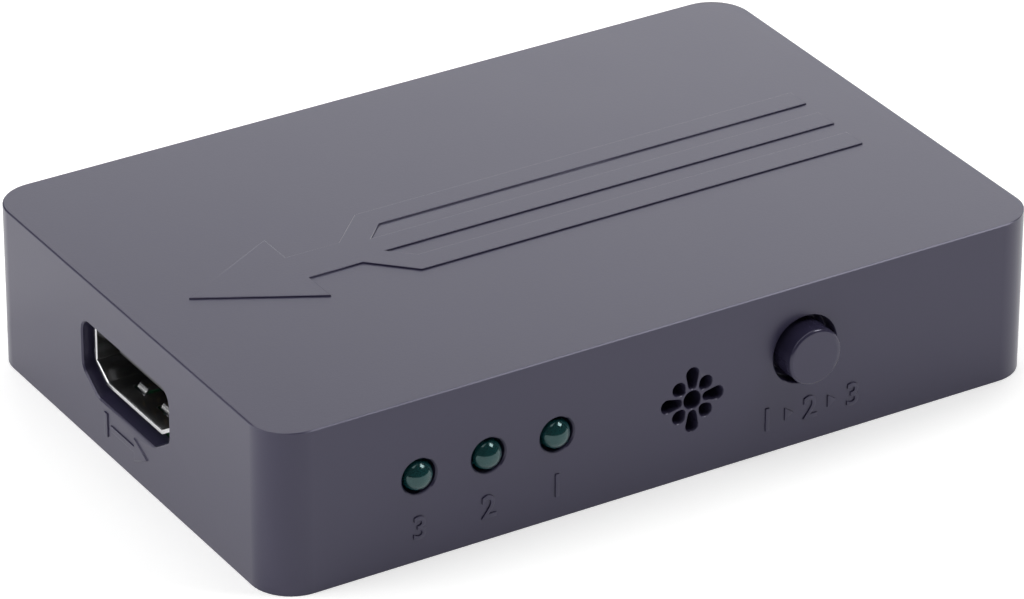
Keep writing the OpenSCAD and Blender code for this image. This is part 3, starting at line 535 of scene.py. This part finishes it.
def screw_tree():
    """Four self-tapping screws with a crowned head, a cross recess and a thread, point up."""
    tree, size = new_tree("case_screw_set", [*SCREW, "Span X", "Span Y"])
    head_r, head_h, shank_r = size["Head Radius"], size["Head Height"], size["Shank Radius"]
    threaded = sum_of(tree, size["Length"], (size["Tip"], -1))
    head = hull_of_rings(tree, [(sum_of(tree, (head_r, across)), sum_of(tree, (head_h, up)))
                                for across, up in SCREW_CROWN], HEAD_STEPS)
    deep = sum_of(tree, (size["Slot Depth"], 2))
    arms = []
    for long, short in (("X", "Y"), ("Y", "X")):
        arm = vector(tree, **{long: size["Slot Length"], short: size["Slot Width"], "Z": deep})
        arms.append(add(tree, "GeometryNodeMeshCube", {"Size": arm}))
    slotted = add(tree, "GeometryNodeMeshBoolean", {"Mesh 1": head, "Mesh 2": arms}, operation="DIFFERENCE",
                  solver="EXACT")
    shank = hull_of_rings(tree, [(shank_r, sum_of(tree, (head_h, SHANK_START))),
                                 (shank_r, sum_of(tree, head_h, threaded)),
                                 (sum_of(tree, (shank_r, SHANK_TIP)), sum_of(tree, head_h, size["Length"]))],
                          SHANK_STEPS)
    turns = add(tree, "ShaderNodeMath", {0: threaded, 1: size["Thread Pitch"]}, operation="DIVIDE")
    helix = add(tree, "GeometryNodeCurveSpiral", {"Resolution": THREAD_STEPS, "Rotations": turns,
                                                  "Start Radius": shank_r, "End Radius": shank_r,
                                                  "Height": threaded})
    ridge = add(tree, "GeometryNodeCurvePrimitiveCircle", {"Resolution": THREAD_SIDES,
                                                           "Radius": size["Thread Depth"]})
    thread = add(tree, "GeometryNodeCurveToMesh", {"Curve": helix, "Profile Curve": ridge, "Fill Caps": True})
    raised = moved(tree, thread, Z=head_h)
    screw = add(tree, "GeometryNodeJoinGeometry", {"Geometry": [slotted, shank, raised]})
    grid = add(tree, "GeometryNodeMeshGrid", {"Size X": size["Span X"], "Size Y": size["Span Y"],
                                              "Vertices X": 2, "Vertices Y": 2})
    screws = add(tree, "GeometryNodeInstanceOnPoints", {"Points": grid, "Instance": screw})
    return close_tree(tree, size, screws)


def window_tree():
    """Cutters that break the edges of a round hole and its eight petals. The wall's face is at Z 0."""
    tree, size = new_tree("window_edges", list(WINDOW))
    depth = sum_of(tree, size["Edge"], (size["Slack"], 2))
    low = sum_of(tree, (size["Edge"], -1), (size["Slack"], -1))

    def cone(radius, reach):
        made = add(tree, "GeometryNodeMeshCone", {
            "Vertices": CIRCLE_STEPS, "Radius Bottom": sum_of(tree, radius, (size["Slack"], -1)),
            "Radius Top": sum_of(tree, radius, size["Edge"], size["Slack"]), "Depth": depth})
        return moved(tree, made, X=reach, Z=low)

    pieces = [cone(size["Hole Radius"], 0)]
    for length, first in (("Long", 0), ("Short", math.pi / PETALS)):
        outer = sum_of(tree, size[length + " Reach"], (size["Outer Radius"], -1))
        inner = sum_of(tree, outer, (size[length + " Length"], -1))
        ends = add(tree, "GeometryNodeJoinGeometry", {"Geometry": [cone(size["Outer Radius"], outer),
                                                                   cone(size["Inner Radius"], inner)]})
        petal = add(tree, "GeometryNodeConvexHull", {"Geometry": ends})
        turn = add(tree, "ShaderNodeMath", {0: add(tree, "GeometryNodeInputIndex"), 1: 2 * math.pi / PETALS,
                                            2: first}, operation="MULTIPLY_ADD")
        points = add(tree, "GeometryNodePoints", {"Count": PETALS})
        pieces.append(add(tree, "GeometryNodeInstanceOnPoints", {"Points": points, "Instance": petal,
                                                                 "Rotation": vector(tree, Z=turn)}))
    return close_tree(tree, size, add(tree, "GeometryNodeJoinGeometry", {"Geometry": pieces}))


def light_frame_tree():
    """Metal frames inside a row of lights: a stem with a cup, a second stem and the bond wire between them."""
    tree, size = new_tree("light_frame_row", [*LIGHT_FRAME, "Pitch"], ["Count"])
    stem_x, stem_end, sheet = size["Stem Place"], size["Stem End"], size["Sheet"]
    cup_r, cup_depth = size["Cup Radius"], size["Cup Depth"]

    def block(width, height):
        return add(tree, "GeometryNodeMeshCube", {"Size": vector(tree, X=width, Y=sheet, Z=height)})

    def cone(foot, brim):
        return add(tree, "GeometryNodeMeshCone", {"Vertices": CUP_STEPS, "Radius Bottom": foot,
                                                  "Radius Top": brim, "Depth": cup_depth})

    stem = block(size["Stem Width"], sum_of(tree, stem_end, (size["Stem Start"], -1)))
    stem_z = sum_of(tree, (stem_end, 0.5), (size["Stem Start"], 0.5))
    stems = [moved(tree, stem, X=sum_of(tree, (stem_x, side)), Z=stem_z) for side in (-1, 1)]
    shelf = moved(tree, block(sum_of(tree, stem_x, cup_r), sheet),
                  X=sum_of(tree, (stem_x, 0.5), (cup_r, SHELF_SHIFT)),
                  Z=sum_of(tree, stem_end, (sheet, -0.5)))
    bowl = cone(sum_of(tree, (cup_r, BOWL_FOOT)), sum_of(tree, (cup_r, BOWL_BRIM)))
    bowl = moved(tree, bowl, Z=sum_of(tree, (cup_depth, BOWL_FLOOR)))
    cup = add(tree, "GeometryNodeMeshBoolean", {"Mesh 1": cone(sum_of(tree, (cup_r, CUP_FOOT)), cup_r),
                                                "Mesh 2": [bowl]}, operation="DIFFERENCE", solver="EXACT")
    cup = moved(tree, cup, Z=stem_end)
    crown_x, crown_z = WIRE_CROWN
    bond = add(tree, "GeometryNodeCurveQuadraticBezier", {
        "Resolution": WIRE_STEPS,
        "Start": vector(tree, Z=sum_of(tree, stem_end, (cup_depth, BOWL_FLOOR))),
        "Middle": vector(tree, X=sum_of(tree, (stem_x, crown_x)), Z=sum_of(tree, stem_end, (cup_depth, crown_z))),
        "End": vector(tree, X=sum_of(tree, (stem_x, -1)), Z=stem_end)})
    section = add(tree, "GeometryNodeCurvePrimitiveCircle", {"Resolution": WIRE_SIDES, "Radius": size["Wire"]})
    wire = add(tree, "GeometryNodeCurveToMesh", {"Curve": bond, "Profile Curve": section, "Fill Caps": True})
    one = add(tree, "GeometryNodeJoinGeometry", {"Geometry": [*stems, shelf, cup, wire]})
    row = add(tree, "GeometryNodeMeshLine", {"Count": size["Count"], "Offset": vector(tree, X=size["Pitch"])})
    frames = add(tree, "GeometryNodeInstanceOnPoints", {"Points": row, "Instance": one})
    return close_tree(tree, size, frames)


# Places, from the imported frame

cover_low, cover_high, _ = box_mm("top_cover")
right, front, back = cover_high.x, cover_low.y, cover_high.y
left = -right
top = cover_high.z - SIGN_H
LIGHTS = (1, 2, 3)
lights = [box_mm(f"led_{number}_lens") for number in LIGHTS]
_, _, button = box_mm("select_button")
receiver_low, _, receiver = box_mm("infrared_receiver")
FACE_FRONT = Matrix.Rotation(math.pi / 2, 4, "X")


def port_place(port):
    """Place of a socket whose mouth is at Y 0 and whose body runs towards +Y."""
    low, high, middle = box_mm(port + "_port_shell")
    z = high.z - PORT_H / 2
    if port == "output":
        return Matrix.Translation((low.x, middle.y, z)) @ Matrix.Rotation(-math.pi / 2, 4, "Z")
    return Matrix.Translation((middle.x, high.y, z)) @ Matrix.Rotation(math.pi, 4, "Z")


PORTS = {port: port_place(port) for port in ("output", "input_1", "input_2", "input_3")}


# Pieces

def flatten_roof_edge(shape):
    """Draw the rounding of the roof into a narrow slant along the front, which takes a fine line of light.

    It thins out around the front corners, and the ends keep their rounding."""
    for vert in shape.verts:
        core = Vector((min(max(vert.co.x, left + CASE_CORNER), right - CASE_CORNER),
                       min(max(vert.co.y, front + CASE_CORNER), back - CASE_CORNER)))
        out = vert.co.xy - core
        inwards, down = CASE_CORNER - out.length, top - vert.co.z
        if inwards < ROOF_ROUND + MERGE and -MERGE < down < ROOF_ROUND + MERGE:
            out.normalize()
            facing = max(-out.y, 0)
            drawn = min(facing * ROOF_SLANT_HOLD, 1)
            size = max(facing ** ROOF_SLANT_THINNING, ROOF_SLANT_LEAST)
            share = math.sin(math.atan2(ROOF_ROUND - inwards, ROOF_ROUND - down)) ** 2
            inwards += drawn * (ROOF_SLANT_RUN * size * (1 - share) - inwards)
            down += drawn * (ROOF_SLANT_DROP * size * share - down)
            vert.co = (core + out * (CASE_CORNER - inwards)).to_3d()
            vert.co.z = top - down


def dress_cover():
    """The cover with broken edges around its cut-outs, and lower, rounded signs."""
    shape = copy_of("top_cover")
    flatten_roof_edge(shape)
    sign_top, sign_side = top + SIGN_SEEN_H, left - SIGN_SEEN_H
    for vert in shape.verts:
        vert.co.z = min(vert.co.z, sign_top)
        vert.co.x = max(vert.co.x, sign_side)
    raised = [e for e in shape.edges if all(sign_top - v.co.z < MERGE for v in e.verts)
              or all(v.co.x - sign_side < MERGE for v in e.verts)]
    rims = [e for e in raised if not e.is_wire and e.calc_face_angle(0) > MOULD_ANGLE]
    bevelled(shape, rims, SIGN_EDGE, SIGN_EDGE_STEPS)
    cut_out = Matrix.Translation((0, -PORT_RECESS, -PORT_DROP))
    cutters = [flare(lambda grow: port_outline(PORT_GAP + grow), place @ cut_out, EDGE)
               for place in PORTS.values()]
    round_holes = [(middle, LIGHT_HOLE_R) for _, _, middle in lights] + [(button, BUTTON_RING_R)]
    for middle, radius in round_holes:
        place = Matrix.Translation((middle.x, front, middle.z))
        cutters.append(flare(lambda grow, r=radius: circle(r + grow), place, EDGE))
    guide = Matrix.Translation((button.x, front + BUTTON_RING_DEPTH, button.z))
    cutters.append(flare(lambda grow: circle(BUTTON_GUIDE_R + grow), guide, BUTTON_GUIDE_EDGE))
    window = Matrix.Translation((receiver.x, front, receiver_low.z + WINDOW_LIFT)) @ FACE_FRONT
    cutters.append(shape_of(grown(window_tree(), case_abs, WINDOW), window))
    cutter = bpy.data.objects.new("cutters", mesh_of(joined(cutters)))
    scene.collection.objects.link(cutter)
    cut = finished(mesh_of(shape), ("BOOLEAN", {"operation": "DIFFERENCE", "solver": "EXACT",
                                                "object": cutter}))
    bpy.data.objects.remove(cutter)
    keep("cover", shape_of(cut), case_abs, ["top_cover"])


def dress_base():
    """The bottom plate with a rounded lower rim."""
    shape = copy_of("base_plate")
    lowest = [e for e in shape.edges if all(v.co.z < MERGE for v in e.verts)]
    rim = [e for e in lowest if e.calc_face_angle(0) > MOULD_ANGLE]
    bevelled(shape, rim, EDGE)
    keep("base", shape, case_abs, ["base_plate"])


def dress_button():
    """The button, with the rounding of its rim drawn in towards its corner."""
    shape = copy_of("select_button")
    face = box_mm("select_button")[0].y
    middle = Vector((button.x, button.z))
    for vert in shape.verts:
        out = vert.co.xz - middle
        short = BUTTON_R - out.length
        if vert.co.y < face + BUTTON_ROUND + MERGE and short < BUTTON_ROUND + MERGE:
            crisp = out.normalized() * (BUTTON_R - short * BUTTON_RIM / BUTTON_ROUND) + middle
            vert.co = (crisp.x, face + (vert.co.y - face) * BUTTON_RIM / BUTTON_ROUND, crisp.y)
    keep("button", shape, button_abs, ["select_button"], body="button")


def dress_lights():
    """The lenses, and the metal frames seen in them."""
    for number in LIGHTS:
        lens = f"led_{number}_lens"
        keep(f"light_{number}", copy_of(lens), lens_epoxy, [lens])
    _, high, middle = lights[2]
    sizes = {**LIGHT_FRAME, "Count": len(LIGHTS), "Pitch": lights[1][2].x - middle.x}
    place = Matrix.Translation((middle.x, high.y, middle.z)) @ FACE_FRONT
    keep("light_frames", shape_of(grown(light_frame_tree(), tinned_steel, sizes), place), tinned_steel)


def faces_in(edge, middle):
    """Whether an edge borders a face that looks towards a middle."""
    inwards = middle - (edge.verts[0].co + edge.verts[1].co) / 2
    return any(face.normal.dot(inwards) > SLACK for face in edge.link_faces)


def dress_ports():
    """The socket shells with rounded lips and sheet edges, and rows of bent contacts."""
    strips = strip_row_tree()
    for port, place in PORTS.items():
        shell = copy_of(port + "_port_shell")
        to_mouth = place.inverted()
        lip = [e for e in shell.edges if all(abs((to_mouth @ v.co).y) < MERGE for v in e.verts)]
        bevelled(shell, [e for e in lip if faces_in(e, place.translation)], LIP_EDGE, LIP_STEPS)
        bevelled(shell, [e for e in shell.edges if e.calc_face_angle(0) > SHEET_ANGLE], SHEET_EDGE)
        keep(port + "_shell", shell, port_steel, [port + "_port_shell"])
        rows = [shape_of(grown(strips, contact_gold, {**CONTACT, "Count": count, "Upper": upper}), place)
                for count, upper in CONTACT_ROWS]
        keep(port + "_contacts", joined(rows), contact_gold, [port + "_port_contacts"])


def dress_screws():
    """The screws with crowned heads, cross recesses and threads."""
    low, high, _ = box_mm("case_screws")
    head_w = 2 * SCREW["Head Radius"]
    spans = {"Span X": high.x - low.x - head_w, "Span Y": high.y - low.y - head_w}
    screws = grown(screw_tree(), screw_steel, {**SCREW, **spans})
    keep("screws", shape_of(screws, Matrix.Translation((0, 0, low.z))), screw_steel,
         ["case_screws"])


def raised_number(number, x, z):
    """A raised number on the front wall, with its middle at X and Z."""
    curve = bpy.data.curves.new("number", "FONT")
    curve.body = str(number)
    curve.size = LETTER_H / FONT_CAP
    curve.align_x = "CENTER"
    curve.extrude = (SIGN_SEEN_H + SIGN_SUNK) / 2 - SIGN_ROUND
    curve.bevel_depth = SIGN_ROUND
    curve.bevel_resolution = 1
    curve.resolution_u = LETTER_STEPS
    holder = bpy.data.objects.new("number", curve)
    scene.collection.objects.link(holder)
    mesh = bpy.data.meshes.new_from_object(holder.evaluated_get(bpy.context.evaluated_depsgraph_get()))
    bpy.data.objects.remove(holder)
    lift = front - (SIGN_SEEN_H - SIGN_SUNK) / 2
    return shape_of(mesh, Matrix.Translation((x, lift, z - LETTER_H / 2)) @ FACE_FRONT)


def dress_signs():
    """Numbers under the lights, and a row of numbers with pointers between them under the button."""
    numbers = [raised_number(number, lights[number - 1][2].x, LIGHT_SIGN_Z) for number in LIGHTS]
    keep("light_numbers", joined(numbers), case_abs)
    middle = button.x + BUTTON_SIGN_SHIFT
    row = [raised_number(number, middle + (number - 2) * BUTTON_SIGN_W / 2, BUTTON_SIGN_Z) for number in LIGHTS]
    half = POINTER_W / 2
    for side in (-1, 1):
        pointer = plate([(-half, -POINTER_RISE), (half, 0), (-half, POINTER_RISE)], SIGN_SEEN_H + SIGN_SUNK,
                        SIGN_ROUND)
        spot = Matrix.Translation((middle + side * BUTTON_SIGN_W / 4, front - SIGN_SEEN_H, BUTTON_SIGN_Z))
        bmesh.ops.transform(pointer, matrix=spot @ FACE_FRONT, verts=pointer.verts)
        row.append(pointer)
    keep("button_sign", joined(row), case_abs)


def dress_inside():
    """Finishes for the CAD nodes that stay as they are."""
    finishes = {board_laminate: ["circuit_board"],
                black_plastic: [port + "_port_insulator" for port in PORTS]
                + ["switch_body", "switch_plunger", "bulk_capacitor_base"],
                tinned_steel: [f"led_{number}_leads" for number in LIGHTS]
                + ["infrared_receiver_leads", "switch_leads", "switch_cover", "switch_chip_pins",
                   "control_chip_pins", "regulator_leads", "chip_end_caps"],
                spring_steel: ["switch_dome"],
                receiver_epoxy: ["infrared_receiver"],
                chip_epoxy: ["switch_chip", "control_chip", "regulator", "chip_resistors"],
                can_aluminium: ["bulk_capacitor_can", "crystal_can"],
                ceramic: ["chip_capacitors"]}
    for material, names in finishes.items():
        for name in names:
            nodes[name].data.materials.clear()
            nodes[name].data.materials.append(material)


dress_cover()
dress_base()
dress_button()
dress_lights()
dress_ports()
dress_screws()
dress_signs()
dress_inside()


# Studio

# The floor is in metres. It lies just under the object, so that their faces don't meet
FLOOR = 6.0
FLOOR_GAP = 0.02 * MM
# The camera's place is in millimetres and degrees
CAMERA_LENS = 227.2
CAMERA_AIM = (-1.74, -2.73, 8.1)
CAMERA_DISTANCE = 587.3
CAMERA_AZIMUTH = -31.408
CAMERA_ELEVATION = 28.825
CAMERA_ROLL = 0.178
# Light from all around, between the softboxes
WORLD = 0.11
# Name, place and size in metres, and brightness, where 1 shows as white
SOFTBOXES = (("key", (0.88, -0.48, 1.25), (0.6, 0.6), 9.0),
             ("overhead", (-0.2, 0.4, 1.5), (1.8, 1.4), 1.5),
             ("backdrop", (1.15, 1.0, 0.35), (1.9, 1.0), 2.6),
             ("left", (-1.3, 0.6, 0.9), (1.4, 1.4), 2.8))


def studio():
    """Pale floor, softboxes and an even dim surround."""
    half = FLOOR / 2
    corners = [(-half, -half, -FLOOR_GAP), (half, -half, -FLOOR_GAP), (half, half, -FLOOR_GAP),
               (-half, half, -FLOOR_GAP)]
    mesh = bpy.data.meshes.new("floor")
    mesh.from_pydata(corners, [], [(0, 1, 2, 3)])
    mesh.materials.append(table)
    floor = bpy.data.objects.new("floor", mesh)
    scene.collection.objects.link(floor)
    for name, place, (width, height), brightness in SOFTBOXES:
        lamp = bpy.data.lights.new(name, "AREA")
        lamp.shape = "RECTANGLE"
        lamp.size, lamp.size_y = width, height
        lamp.energy = brightness * math.pi * width * height
        holder = bpy.data.objects.new(name, lamp)
        holder.location = place
        holder.rotation_euler = (-Vector(place)).to_track_quat("-Z", "Y").to_euler()
        holder.visible_camera = False
        scene.collection.objects.link(holder)
    world = bpy.data.worlds.new("studio")
    world.use_nodes = True
    background = world.node_tree.nodes["Background"].inputs
    background["Strength"].default_value = WORLD
    background["Color"].default_value = linear("#ffffff")
    scene.world = world
    scene.view_settings.view_transform = "Standard"


def camera():
    """A long lens from the front left and above, turned around the point that it aims at."""
    a, e = math.radians(CAMERA_AZIMUTH), math.radians(CAMERA_ELEVATION)
    behind = Vector((math.sin(a) * math.cos(e), -math.cos(a) * math.cos(e), math.sin(e)))
    data = bpy.data.cameras.new("camera")
    data.lens = CAMERA_LENS
    holder = bpy.data.objects.new("camera", data)
    holder.rotation_mode = "QUATERNION"
    holder.location = (Vector(CAMERA_AIM) + behind * CAMERA_DISTANCE) * MM
    level = (-behind).to_track_quat("-Z", "Y")
    holder.rotation_quaternion = level @ Quaternion((0, 0, 1), math.radians(CAMERA_ROLL))
    scene.collection.objects.link(holder)
    scene.camera = holder


studio()
camera()
